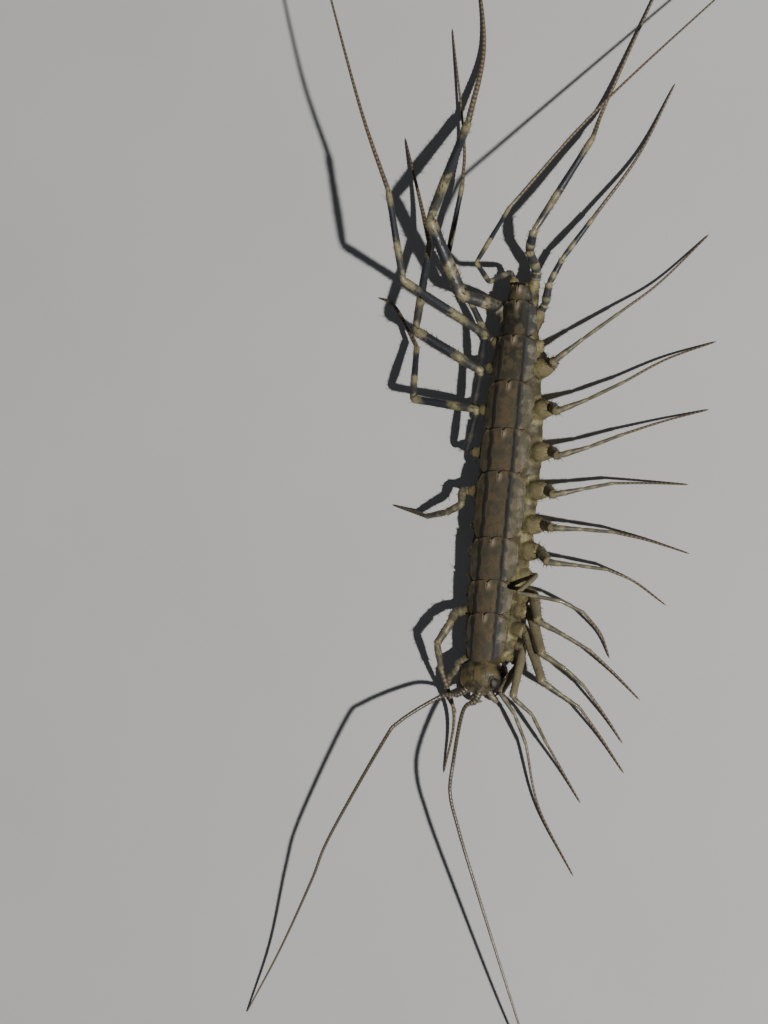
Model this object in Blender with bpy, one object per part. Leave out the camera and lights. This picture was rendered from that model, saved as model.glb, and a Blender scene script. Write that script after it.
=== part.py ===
"""House centipede: a still, life-size model, standing on the floor with its head towards -Y."""

import math

import bmesh
import bpy
from mathutils import Matrix, Vector

# Driving dimensions, in millimetres, turned into metres when a point is placed
MM = 0.001
GAP = 0.15
SIGHT_TILT = math.radians(30)
MIDDLE_X = 10.414
MIDDLE_Y = -0.802
BACK_HEIGHT = 3.2
BELLY_HEIGHT = 0.95
BACK_HALF_WIDTH = 1.97
RIM_DROP = 0.6
RIM_THICKNESS = 0.26
SADDLE_HEIGHT = 0.12
TAIL_TAPER = 0.85
FLANK_SHARE = 1.28
TAIL_FLANK_SHARE = 0.8
COXA_RADIUS = 0.36
COXA_HEIGHT = 1.78
COXA_REACH = 0.36
COXA_ROOT_SHARE = 0.4
HIND_COXA_SHARE = 1.22
COXA_RISE = 0.12
LAST_COXA_SPREAD = 0.52
LAST_COXA_LENGTH = 1.15
FRONT_SWEEP = math.radians(20)
HIND_SWEEP = math.radians(72)
TROCHANTER_LENGTH = 0.45
HEAD_HALF = (1.55, 1.22, 0.93)
HEAD_SHIFT = -0.42
HEAD_Y = -11.5
HEAD_Z = 2.08
EYE_HALF = (0.34, 0.52, 0.4)
EYE_PLACE = (1.22, -0.36, 0.14)
EYE_TURN = math.radians(20)
LEG_RADIUS = 0.32
FULL_THIGH_RADIUS = 0.42
TARSUS_RADIUS = 0.25
TIP_RADIUS = 0.11
ANTENNA_RADIUS = 0.26
SOCKET_LENGTH = 0.3
ANTENNA_SOCKET_RADIUS = 0.34
PALP_RADIUS = 0.26

# Ends of the eight trunk pieces and the tail along the body, from the head backwards
PLATE_ENDS = (-10.1, -7.3, -5.0, -2.0, 2.6, 5.6, 8.9, 12.1, 14.5, 15.8)
# Place of each pair of coxae along the body, first pair to last
COXA_STATIONS = (-9.6, -8.75, -7.85, -6.65, -5.6, -4.3, -2.7, -0.9, 1.5, 4.1, 6.9, 9.6, 11.1, 12.85, 15.1)
LAST_PAIR = len(COXA_STATIONS)
STRAIGHT_PAIR = 8.5
# Pairs whose left thighs are held up, short and full
FULL_THIGHS = range(3, 13)

# The joints of each leg: end of the thigh, knee, ankle, bend of the tarsus and tip.
# Each is given as across, along and height, with the first two measured square to the sight line.
LEFT_LEGS = {
    1: ((8.1, -12.6, 2.6), (9.1, -14.1, 2.2), (9.9, -16.2, 1.4), (10.8, -20.6, 0.5), (13.2, -25.4, 0.05)),
    2: ((8.95, -12.9, 3.9), (10.3, -14.1, 3.0), (11.3, -16.1, 1.6), (12.4, -18.0, 0.6), (13.7, -20.3, 0.05)),
    3: ((11.0, -11.8, 3.3), (12.3, -12.7, 2.6), (13.6, -13.6, 1.7), (15.1, -15.7, 0.6), (16.7, -18.2, 0.05)),
    4: ((11.0, -9.9, 3.4), (12.6, -10.9, 2.7), (13.9, -12.1, 1.7), (15.4, -14.2, 0.6), (16.6, -16.1, 0.05)),
    5: ((10.7, -7.6, 3.6), (12.6, -8.6, 2.8), (14.4, -9.7, 1.8), (16.1, -11.3, 0.7), (17.8, -13.1, 0.05)),
    6: ((9.3, -5.6, 4.4), (12.3, -6.2, 3.2), (13.9, -7.0, 2.0), (15.1, -8.5, 0.8), (15.7, -10.2, 0.05)),
    7: ((11.4, -3.5, 3.4), (13.4, -3.7, 2.6), (15.5, -4.0, 1.7), (17.5, -4.9, 0.7), (19.6, -6.5, 0.05)),
    8: ((11.7, -1.1, 3.3), (13.7, -1.2, 2.4), (15.9, -1.4, 1.6), (18.4, -2.0, 0.7), (21.2, -2.9, 0.05)),
    9: ((11.8, 1.2, 3.3), (13.8, 1.6, 2.4), (15.9, 2.0, 1.6), (18.4, 2.0, 0.7), (21.1, 1.9, 0.05)),
    10: ((12.1, 3.9, 3.3), (14.2, 4.5, 2.4), (16.6, 5.4, 1.6), (19.4, 6.3, 0.7), (22.5, 7.1, 0.05)),
    11: ((12.0, 7.0, 3.3), (14.1, 7.8, 2.4), (16.6, 9.0, 1.6), (19.6, 10.6, 0.7), (23.0, 11.8, 0.05)),
    12: ((11.8, 10.5, 3.3), (13.8, 12.0, 2.6), (16.3, 13.8, 1.7), (19.1, 15.9, 0.7), (22.5, 19.2, 0.05)),
    14: ((11.5, 15.9, 2.6), (12.4, 17.6, 2.4), (14.5, 20.4, 1.5), (17.7, 24.8, 0.5), (20.2, 29.7, 0.05)),
    15: ((10.1, 18.2, 3.4), (10.4, 19.5, 4.2), (14.5, 26.0, 2.0), (15.6, 28.8, 0.5), (20.0, 38.5, 0.05)),
}
RIGHT_LEGS = {
    1: ((5.2, -10.9, 2.2), (4.6, -11.5, 1.8), (4.4, -12.3, 1.1), (4.6, -13.0, 0.5), (5.1, -14.1, 0.05)),
    4: ((4.6, -7.8, 3.1), (3.7, -9.2, 3.4), (4.0, -11.0, 2.5), (4.9, -14.3, 1.2), (4.2, -18.3, 0.05)),
    9: ((5.4, 0.5, 2.7), (4.4, 0.0, 2.6), (3.0, -0.3, 1.4), (1.8, 0.1, 0.6), (0.6, 0.5, 0.05)),
    10: ((6.48, 7.18, 2.9), (2.0, 7.9, 3.6), (2.3, 11.6, 1.8), (0.8, 14.4, 0.6), (-0.4, 15.1, 0.05)),
    11: ((6.76, 9.86, 2.9), (2.2, 12.7, 4.6), (3.2, 18.8, 2.6), (2.5, 22.0, 1.2), (1.5, 26.3, 0.05)),
    12: ((7.04, 12.39, 3.1), (1.3, 16.1, 9.6), (0.3, 22.3, 9.6), (-1.7, 28.3, 9.5), (-4.6, 39.2, 8.2)),
    13: ((6.1, 14.6, 2.2), (4.4, 17.6, 2.6), (5.5, 23.0, 1.6), (5.6, 26.2, 0.9), (4.8, 33.9, 0.05)),
    14: ((5.4, 15.1, 4.2), (3.2, 20.4, 6.0), (5.9, 27.3, 1.7), (7.0, 32.5, 0.4), (6.5, 38.5, 0.05)),
    15: ((7.3, 16.0, 5.0), (6.4, 17.3, 7.2), (8.7, 21.1, 7.9), (15.2, 28.3, 5.2), (25.8, 38.0, 3.8)),
}

# Legs that are stouter than the rest, and by how much
STOUT_LEGS = {
    ("left", 15): 1.25,
    ("right", 10): 1.06,
    ("right", 11): 1.15,
    ("right", 12): 1.3,
    ("right", 14): 1.4,
}
RIGHT_ANTENNA = (
    (3.9, -12.9, 4.2),
    (1.1, -14.6, 5.8),
    (-0.1, -16.1, 6.2),
    (-3.8, -22.7, 5.0),
    (-5.1, -25.9, 4.2),
    (-7.3, -30.8, 1.8),
    (-9.7, -35.4, 0.05),
)
LEFT_ANTENNA = (
    (5.5, -13.9, 3.9),
    (4.8, -17.5, 5.5),
    (4.6, -19.6, 5.4),
    (5.1, -21.8, 5.2),
    (6.1, -25.2, 4.6),
    (9.2, -35.1, 2.4),
    (11.1, -40.8, 0.05),
)


def body_x(y):
    """Place of the middle line of the body, a long shallow curve."""
    return 10.8 + 0.115 * y - 0.0008 * (y - 3) ** 2


def head_x(y):
    """The middle line of the head, which is held a little to the right."""
    return body_x(y) + HEAD_SHIFT


def on_sight_plane(point):
    """A point given across, along and above, measured square to the sight line."""
    across, along, height = point
    return Vector(((across + height * math.sin(SIGHT_TILT)) / math.cos(SIGHT_TILT), along, height))


def half_width(y):
    """Half the width of the back plates, narrowing to the head and more to the tail."""
    return BACK_HALF_WIDTH - 0.55 * ((y - 2.5) / 13) ** 2 - 0.006 * max(0, y - 8) ** 2


def flank_width(y):
    """Half the width of the soft flank, which shows beside the plates except near the tail."""
    towards_tail = min(1, max(0, (y - 5) / 7))
    return half_width(y) * (FLANK_SHARE + (TAIL_FLANK_SHARE - FLANK_SHARE) * towards_tail)


def back_height(y):
    return BACK_HEIGHT - 0.35 * ((y - 1) / 14) ** 2


def belly_height(y):
    return BELLY_HEIGHT + 0.15 * ((y - 1) / 14) ** 2


def metres(point):
    """A point in millimetres, moved so that the middle of the animal stands on the origin."""
    return Vector((point[0] - MIDDLE_X, point[1] - MIDDLE_Y, point[2])) * MM


def clear_scene():
    for old in list(bpy.data.objects):
        bpy.data.objects.remove(old)


def collection(name):
    made = bpy.data.collections.new(name)
    bpy.context.scene.collection.children.link(made)
    return made


def material(name, colour, roughness):
    made = bpy.data.materials.new(name)
    made.use_nodes = True
    shader = made.node_tree.nodes["Principled BSDF"]
    shader.inputs["Base Color"].default_value = (*colour, 1)
    shader.inputs["Roughness"].default_value = roughness
    shader.inputs["Metallic"].default_value = 0
    made.diffuse_color = (*colour, 1)
    return made


def add_mesh(name, mesh, home, finish):
    made = bpy.data.objects.new(name, mesh)
    home.objects.link(made)
    mesh.materials.clear()
    if finish:
        mesh.materials.append(finish)
    mesh.shade_smooth()
    mesh.set_sharp_from_angle(angle=math.radians(40))
    return made


def mesh_from(name, bm):
    bmesh.ops.recalc_face_normals(bm, faces=bm.faces)
    mesh = bpy.data.meshes.new(name)
    bm.to_mesh(mesh)
    bm.free()
    return mesh


def loft(name, rings, home, finish=None):
    """A closed solid through rings of points, each ring in one plane, with flat ends."""
    bm = bmesh.new()
    rows = [[bm.verts.new(metres(point)) for point in ring] for ring in rings]
    count = len(rows[0])
    for near, far in zip(rows, rows[1:]):
        for i in range(count):
            j = (i + 1) % count
            bm.faces.new((near[i], near[j], far[j], far[i]))
    bm.faces.new(rows[0])
    bm.faces.new(list(reversed(rows[-1])))
    return add_mesh(name, mesh_from(name, bm), home, finish)


def rounded(points, radii, cut):
    """The same path with each corner taken by three points of a curve."""
    path = [(points[0], radii[0])]
    for i in range(1, len(points) - 1):
        before, here, after = points[i - 1], points[i], points[i + 1]
        start = here + (before - here).normalized() * min(cut, 0.4 * (before - here).length)
        end = here + (after - here).normalized() * min(cut, 0.4 * (after - here).length)
        middle = (start + 2 * here + end) / 4
        path += [(start, radii[i]), (middle, radii[i]), (end, radii[i])]
    path.append((points[-1], radii[-1]))
    return path


def tube(name, points, radii, home, finish=None, cut=0.5, sides_level=2):
    """A tapered round tube along a path, made a mesh, with its underside flat where it meets the floor."""
    data = bpy.data.curves.new(name, "CURVE")
    data.dimensions = "3D"
    data.bevel_depth = MM
    data.bevel_resolution = sides_level
    data.use_fill_caps = True
    data.twist_mode = "Z_UP"
    path = rounded([Vector(point) for point in points], radii, cut)
    spline = data.splines.new("POLY")
    spline.points.add(len(path) - 1)
    for target, (point, radius) in zip(spline.points, path):
        target.co = (*metres(point), 1)
        target.radius = radius
    curve = bpy.data.objects.new(name + "_path", data)
    home.objects.link(curve)
    bpy.context.view_layer.update()
    graph = bpy.context.evaluated_depsgraph_get()
    mesh = bpy.data.meshes.new_from_object(curve.evaluated_get(graph))
    bpy.data.objects.remove(curve)
    bm = bmesh.new()
    bm.from_mesh(mesh)
    bmesh.ops.remove_doubles(bm, verts=bm.verts, dist=1e-7)
    for vertex in bm.verts:
        vertex.co.z = max(vertex.co.z, 0)
    bpy.data.meshes.remove(mesh)
    return add_mesh(name, mesh_from(name, bm), home, finish)


def ellipsoid(name, centre, half, home, finish=None, grow=0, segments=20, rings=12, turn=None):
    bm = bmesh.new()
    bmesh.ops.create_uvsphere(bm, u_segments=segments, v_segments=rings, radius=1)
    sizes = [(size + grow) * MM for size in half]
    place = Matrix.Translation(metres(centre)) @ (turn or Matrix()) @ Matrix.Diagonal((*sizes, 1))
    bmesh.ops.transform(bm, matrix=place, verts=bm.verts)
    return add_mesh(name, mesh_from(name, bm), home, finish)


def keep_largest(mesh):
    """Leaves only the largest closed surface of a mesh."""
    bm = bmesh.new()
    bm.from_mesh(mesh)
    left = set(bm.faces)
    shells = []
    while left:
        reached = {left.pop()}
        edge = set(reached)
        while edge:
            edge = {near for face in edge for side in face.edges for near in side.link_faces} & left
            left -= edge
            reached |= edge
        shells.append(reached)
    largest = max(shells, key=lambda shell: sum(face.calc_area() for face in shell))
    spare = [face for shell in shells if shell is not largest for face in shell]
    bmesh.ops.delete(bm, geom=spare, context="FACES")
    bm.to_mesh(mesh)
    bm.free()


def joined(body, pieces, operation="UNION"):
    """The body with the pieces fused to it, or cut from it, and the pieces removed."""
    cutters = bpy.data.collections.new(body.name + "_pieces")
    bpy.context.scene.collection.children.link(cutters)
    for piece in pieces:
        for home in list(piece.users_collection):
            home.objects.unlink(piece)
        cutters.objects.link(piece)
    boolean = body.modifiers.new("join", "BOOLEAN")
    boolean.operation = operation
    boolean.operand_type = "COLLECTION"
    boolean.collection = cutters
    boolean.solver = "EXACT"
    bpy.context.view_layer.update()
    graph = bpy.context.evaluated_depsgraph_get()
    mesh = bpy.data.meshes.new_from_object(body.evaluated_get(graph))
    finish = body.data.materials[0]
    body.modifiers.clear()
    body.data = mesh
    mesh.materials.clear()
    mesh.materials.append(finish)
    keep_largest(mesh)
    mesh.shade_smooth()
    mesh.set_sharp_from_angle(angle=math.radians(40))
    for piece in list(cutters.objects):
        bpy.data.objects.remove(piece)
    bpy.data.collections.remove(cutters)
    return body


def trunk_ring(y, rim_share, rise=0.0, shrink=1.0):
    """One section of the trunk: arched back plate with an overhanging rim, then flank and belly."""
    rim = half_width(y) * rim_share
    flank = flank_width(y) * shrink
    top = back_height(y) + rise
    belly = belly_height(y)
    depth = back_height(y) - belly
    half = (
        (0, top),
        (0.5 * rim, top - 0.2 * RIM_DROP),
        (0.85 * rim, back_height(y) - 0.65 * RIM_DROP),
        (rim, back_height(y) - RIM_DROP),
        (0.97 * rim, back_height(y) - RIM_DROP - RIM_THICKNESS),
        (min(0.86 * rim, 0.92 * flank), back_height(y) - RIM_DROP - 1.2 * RIM_THICKNESS),
        (0.97 * flank, belly + 0.44 * depth),
        (flank, belly + 0.3 * depth),
        (0.75 * flank, belly + 0.08 * depth),
        (0, belly),
    )
    left = [(body_x(y) + across, y, z) for across, z in half]
    right = [(body_x(y) - across, y, z) for across, z in reversed(half[1:-1])]
    return left + right


def rim_share(u):
    """How wide a plate is along its length: rounded corners, widest behind its middle."""
    return 0.86 + 0.14 * (1 - abs(2 * u - 1.1) ** 3 / 1.35)


def coxa_sweep(pair):
    """How far a coxa turns forwards (less than 0) or backwards from straight out."""
    turn = (pair - STRAIGHT_PAIR) / (LAST_PAIR - STRAIGHT_PAIR)
    most = HIND_SWEEP if turn > 0 else FRONT_SWEEP
    return most * math.copysign(abs(turn) ** 2.2, turn)


def coxa_line(side, pair):
    """Start and end of a coxa and the way it points; side is 1 on the left and -1 on the right."""
    y = COXA_STATIONS[pair - 1]
    sweep = coxa_sweep(pair)
    points_to = Vector((side * math.cos(sweep), math.sin(sweep), COXA_RISE)).normalized()
    if pair == LAST_PAIR:
        start = Vector((body_x(y) + side * LAST_COXA_SPREAD, y, COXA_HEIGHT))
        return start, start + points_to * LAST_COXA_LENGTH, points_to
    root = COXA_ROOT_SHARE * half_width(y)
    start = Vector((body_x(y) + side * root, y, COXA_HEIGHT))
    side_reach = max(flank_width(y), HIND_COXA_SHARE * half_width(y)) + COXA_REACH
    reach = side_reach - root - 0.35 * abs(math.sin(sweep))
    return start, start + points_to * (reach / math.cos(sweep) ** 0.3), points_to


def coxa_radius(pair):
    return COXA_RADIUS * (0.82 if pair < 5 else 1)


def coxa_base(pair):
    """Radius of a coxa where it leaves the flank, as much as the next coxae leave room for."""
    if pair == LAST_PAIR:
        return 1.1 * coxa_radius(pair)
    y = COXA_STATIONS[pair - 1]
    nearest = min(abs(y - other) for other in COXA_STATIONS if other != y)
    return max(coxa_radius(pair), min(1.6 * COXA_RADIUS, 0.42 * nearest))


def trunk_piece(number, home, finish):
    """One back plate with the trunk under it and the coxae of its pairs of legs."""
    front = PLATE_ENDS[number - 1] + GAP / 2
    rear = PLATE_ENDS[number] - GAP / 2
    is_tail = number == len(PLATE_ENDS) - 1
    steps = 8
    rings = []
    for i in range(steps + 1):
        u = i / steps
        saddle = SADDLE_HEIGHT * math.exp(-(((u - 0.93) / 0.09) ** 2))
        taper = TAIL_TAPER - 0.2 * u**2 if is_tail else 1
        rings.append(trunk_ring(front + (rear - front) * u, rim_share(u) * taper, saddle, taper))
    name = "tail" if is_tail else f"trunk_{number}"
    body = loft(name, rings, home, finish)
    coxae = []
    for pair, y in enumerate(COXA_STATIONS, 1):
        if not front < y < rear:
            continue
        for side, legs in ((1, LEFT_LEGS), (-1, RIGHT_LEGS)):
            start, end, points_to = coxa_line(side, pair)
            radius = coxa_radius(pair)
            widest = start.lerp(end, 0.55)
            if pair in legs:
                route = (start, widest, end)
                radii = (coxa_base(pair), coxa_base(pair), radius)
            else:
                stump = start.lerp(end, 0.82)
                route = (start, widest, stump, stump + points_to * 0.12)
                radii = (coxa_base(pair), coxa_base(pair), radius, 0.5 * radius)
            coxae.append(tube("coxa", route, radii, home, cut=0.03))
    return joined(body, coxae)


def leg(side, pair, joints, home, finish):
    """One whole leg from the face of its coxa to its tip on the floor."""
    side_name = "left" if side > 0 else "right"
    stout = STOUT_LEGS.get((side_name, pair), 1)
    _, end, points_to = coxa_line(side, pair)
    start = end + points_to * GAP
    trochanter = start + points_to * TROCHANTER_LENGTH
    thick = LEG_RADIUS * stout
    is_full = side > 0 and pair in FULL_THIGHS
    thigh = FULL_THIGH_RADIUS if is_full else thick
    root = min(coxa_radius(pair), thigh)
    shin = max(TARSUS_RADIUS + 0.02, 0.85 * thick)
    radii = (root, thigh, 0.95 * thigh, shin, TARSUS_RADIUS + 0.02, TARSUS_RADIUS, TIP_RADIUS)
    route = [start, trochanter] + [on_sight_plane(joint) for joint in joints]
    return tube(f"leg_{side_name}_{pair:02d}", route, radii, home, finish, sides_level=1)


def antenna_socket(side):
    """Root and direction of an antenna; the right one is held out sideways and the left one forwards."""
    if side > 0:
        return Vector((head_x(-12.3) + 0.47, -12.4, 2.5)), Vector((-0.3, -0.85, 0.4)).normalized()
    return Vector((head_x(-12.3) - 0.5, -12.2, 2.4)), Vector((-0.75, -0.55, 0.35)).normalized()


def palp_socket(side):
    root = Vector((head_x(-12.2) + side * 0.45, -12.2, 1.55))
    points_to = Vector((side * 0.25, -0.9, -0.25)).normalized()
    return root, points_to


def socket(root, points_to, radius, home):
    """A short stub that rises from the head and ends in the face that a feeler or a palp meets."""
    ends = (root - points_to * 0.4, root + points_to * SOCKET_LENGTH)
    return tube("socket", ends, (radius, 0.9 * radius), home)


def head(home, cutters, finish, eye_finish):
    """The rounded head with sockets for the antennae and palps, and an eye set in each side."""
    centre = (head_x(HEAD_Y), HEAD_Y, HEAD_Z)
    skull = ellipsoid("head", centre, HEAD_HALF, home, finish, segments=24, rings=14)
    stubs = []
    for side in (1, -1):
        root, points_to = antenna_socket(side)
        stubs.append(socket(root, points_to, ANTENNA_SOCKET_RADIUS, home))
        root, points_to = palp_socket(side)
        stubs.append(socket(root, points_to, 1.1 * PALP_RADIUS, home))
    joined(skull, stubs)
    holes = []
    for side, name in ((1, "eye_left"), (-1, "eye_right")):
        out, along, above = EYE_PLACE
        place = (centre[0] + side * out, HEAD_Y + along, HEAD_Z + above)
        turn = Matrix.Rotation(side * EYE_TURN, 4, "Z")
        ellipsoid(name, place, EYE_HALF, home, eye_finish, segments=16, rings=10, turn=turn)
        holes.append(ellipsoid("hole", place, EYE_HALF, cutters, None, GAP, 16, 10, turn))
    joined(skull, holes, "DIFFERENCE")


def antenna(side, points, home, finish):
    name = "antenna_left" if side > 0 else "antenna_right"
    root, points_to = antenna_socket(side)
    start = root + points_to * (SOCKET_LENGTH + GAP)
    route = [start, start + points_to * 0.5] + [on_sight_plane(point) for point in points]
    last = len(route) - 1
    radii = [ANTENNA_RADIUS + (TIP_RADIUS - ANTENNA_RADIUS) * (i / last) ** 3 for i in range(last + 1)]
    tube(name, route, radii, home, finish, cut=1.2, sides_level=1)


def mouthparts(side, home, finish, claw_finish):
    """A palp and a poison claw on one side, folded under the front of the head."""
    side_name = "left" if side > 0 else "right"
    root, points_to = palp_socket(side)
    start = root + points_to * (SOCKET_LENGTH + GAP)
    elbow = start + Vector((side * 0.3, -0.55, -0.3))
    tip = elbow + Vector((-side * 0.25, -0.1, -0.7))
    route = (start, start + points_to * 0.2, elbow, tip)
    tube(f"palp_{side_name}", route, (PALP_RADIUS, PALP_RADIUS, 0.25, 0.12), home, finish)
    middle = head_x(-11)
    claw = [
        Vector((middle + side * 0.98, -10.32, 1.12)),
        Vector((middle + side * 1.3, -11.15, 0.72)),
        Vector((middle + side * 1.05, -12.2, 0.62)),
        Vector((middle + side * 0.35, -12.9, 0.6)),
    ]
    tube(f"claw_{side_name}", claw, (0.28, 0.27, 0.25, 0.09), home, claw_finish)


def main():
    clear_scene()
    home = collection("house_centipede")
    cutters = collection("cutters")
    cutters.hide_render = True
    plate = material("plate", (0.30, 0.24, 0.14), 0.45)
    skin = material("skin", (0.36, 0.30, 0.16), 0.5)
    leg_finish = material("leg", (0.27, 0.23, 0.15), 0.5)
    eye_finish = material("eye", (0.03, 0.03, 0.03), 0.25)
    claw_finish = material("claw", (0.22, 0.10, 0.04), 0.3)
    for number in range(1, len(PLATE_ENDS)):
        trunk_piece(number, home, plate)
    head(home, cutters, skin, eye_finish)
    antenna(1, LEFT_ANTENNA, home, leg_finish)
    antenna(-1, RIGHT_ANTENNA, home, leg_finish)
    for side, legs in ((1, LEFT_LEGS), (-1, RIGHT_LEGS)):
        mouthparts(side, home, leg_finish, claw_finish)
        for pair, joints in legs.items():
            leg(side, pair, joints, home, leg_finish)


main()
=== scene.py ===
# %% [markdown]
# # Dressing a house centipede
# The solids of this animal are plain: a trunk in nine lengths, a head, and one tube for each leg
# and feeler. This lesson lays the looks over them: back plates, a soft flank, jointed legs with
# spines, ringed feelers and eyes of many facets. Everything is modelled in millimetres and turned
# into metres at the end, because Blender's modifiers work badly on things a few hundredths of a
# millimetre wide.

# %% Load the frame
import math

import bmesh
import bpy
import numpy as np
from mathutils import Matrix, Vector, noise


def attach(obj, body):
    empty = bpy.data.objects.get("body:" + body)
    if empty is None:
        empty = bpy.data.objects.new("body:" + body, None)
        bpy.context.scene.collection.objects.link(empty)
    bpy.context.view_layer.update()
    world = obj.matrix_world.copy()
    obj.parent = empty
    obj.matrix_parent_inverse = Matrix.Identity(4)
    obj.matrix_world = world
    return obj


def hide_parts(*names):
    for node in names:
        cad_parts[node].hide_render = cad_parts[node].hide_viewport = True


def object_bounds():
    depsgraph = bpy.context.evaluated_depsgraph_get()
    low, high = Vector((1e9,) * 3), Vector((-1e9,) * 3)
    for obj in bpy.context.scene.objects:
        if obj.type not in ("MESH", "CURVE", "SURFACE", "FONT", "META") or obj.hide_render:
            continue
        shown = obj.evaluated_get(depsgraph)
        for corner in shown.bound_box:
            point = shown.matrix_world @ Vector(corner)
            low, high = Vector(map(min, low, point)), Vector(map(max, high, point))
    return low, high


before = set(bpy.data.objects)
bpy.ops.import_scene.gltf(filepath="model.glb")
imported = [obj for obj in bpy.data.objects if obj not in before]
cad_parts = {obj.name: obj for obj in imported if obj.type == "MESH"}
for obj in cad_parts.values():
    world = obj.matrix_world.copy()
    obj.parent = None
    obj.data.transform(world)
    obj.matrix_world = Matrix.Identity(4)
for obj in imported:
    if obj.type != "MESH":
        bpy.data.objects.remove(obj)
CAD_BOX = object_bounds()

MM = 0.001
FLOOR = 0.0
TOP = CAD_BOX[1].z * 1.02
print("nodes in the frame:", len(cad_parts), "top in mm:", round(CAD_BOX[1].z / MM, 2))

# %% [markdown]
# ## The measures of the body
# The trunk is a long row of like segments, so one formula for each measure does more than a list of
# sections. The middle line bends a little, the back is widest near its middle, and the belly hangs
# just above the floor. Places are measured from the middle of the picture, and MIDDLE_X and
# MIDDLE_Y say where the middle of the whole animal lies. The plain numbers inside formulas were
# fitted to the picture.

# %% Body measures in millimetres
SIGHT_TILT = math.radians(30)
MIDDLE_X = 10.414
MIDDLE_Y = -0.802
GAP = 0.15
TIP_HEIGHT = 0.05
BACK_HEIGHT = 3.2
BELLY_HEIGHT = 0.95
BACK_HALF_WIDTH = 1.97
RIM_DROP = 0.6
FLANK_SHARE = 1.28
TAIL_FLANK_SHARE = 0.8
COXA_RADIUS = 0.36
COXA_SPREAD = 1.6
FRONT_COXA_SHARE = 0.82
FRONT_PAIRS = 4
COXA_HEIGHT = 1.78
COXA_REACH = 0.36
COXA_ROOT_SHARE = 0.4
HIND_COXA_SHARE = 1.22
COXA_RISE = 0.12
FULL_HIP_SWELL = 1.27
FULL_HIP_END = 0.52
FULL_HIP_REACH = 0.4
LAST_COXA_SPREAD = 0.52
LAST_COXA_LENGTH = 1.15
FRONT_SWEEP = math.radians(20)
HIND_SWEEP = math.radians(72)
STRAIGHT_PAIR = 8.5
HEAD_SHIFT = -0.42
PLATE_ENDS = (-10.1, -7.3, -5.0, -2.0, 2.6, 5.6, 8.9, 12.1, 14.5, 15.8)
COXA_STATIONS = (
    -9.6, -8.75, -7.85, -6.65, -5.6, -4.3, -2.7, -0.9, 1.5, 4.1, 6.9, 9.6, 11.1, 12.85, 15.1)
LAST_PAIR = len(COXA_STATIONS)


def body_x(y):
    """Place of the middle line of the body."""
    return 10.8 + 0.115 * y - 0.0008 * (y - 3) ** 2


def head_x(y):
    """The middle line of the head, which is held a little to the right."""
    return body_x(y) + HEAD_SHIFT


def half_width(y):
    """Half the width of the back plates."""
    return BACK_HALF_WIDTH - 0.55 * ((y - 2.5) / 13) ** 2 - 0.006 * max(0, y - 8) ** 2


def flank_width(y):
    """Half the width of the soft flank, which shows beside the plates except near the tail."""
    towards_tail = min(1, max(0, (y - 5) / 7))
    return half_width(y) * (FLANK_SHARE + (TAIL_FLANK_SHARE - FLANK_SHARE) * towards_tail)


def back_height(y):
    return BACK_HEIGHT - 0.35 * ((y - 1) / 14) ** 2


def belly_height(y):
    return BELLY_HEIGHT + 0.15 * ((y - 1) / 14) ** 2


def on_sight_plane(point):
    """A point from across, along and above; the first two are square to the line of sight."""
    across, along, height = (*point, TIP_HEIGHT)[:3]
    return Vector(((across + height * math.sin(SIGHT_TILT)) / math.cos(SIGHT_TILT), along, height))


print("plate width at the middle:", round(2 * half_width(1), 2), "mm")

# %% [markdown]
# ## Where the legs go
# A leg is known by five joints: the end of the thigh, knee, ankle, the bend of the foot and its
# tip. They are given as the eye sees them, across and along the picture, with a height above the
# floor. A tip without a height stands on the floor. Left and right are the animal's own. On the
# left the full thighs rise towards the eye from swollen hips, so they look short and thick. The
# legs missing here were lost in life, and only their round hip stubs are left.

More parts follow.
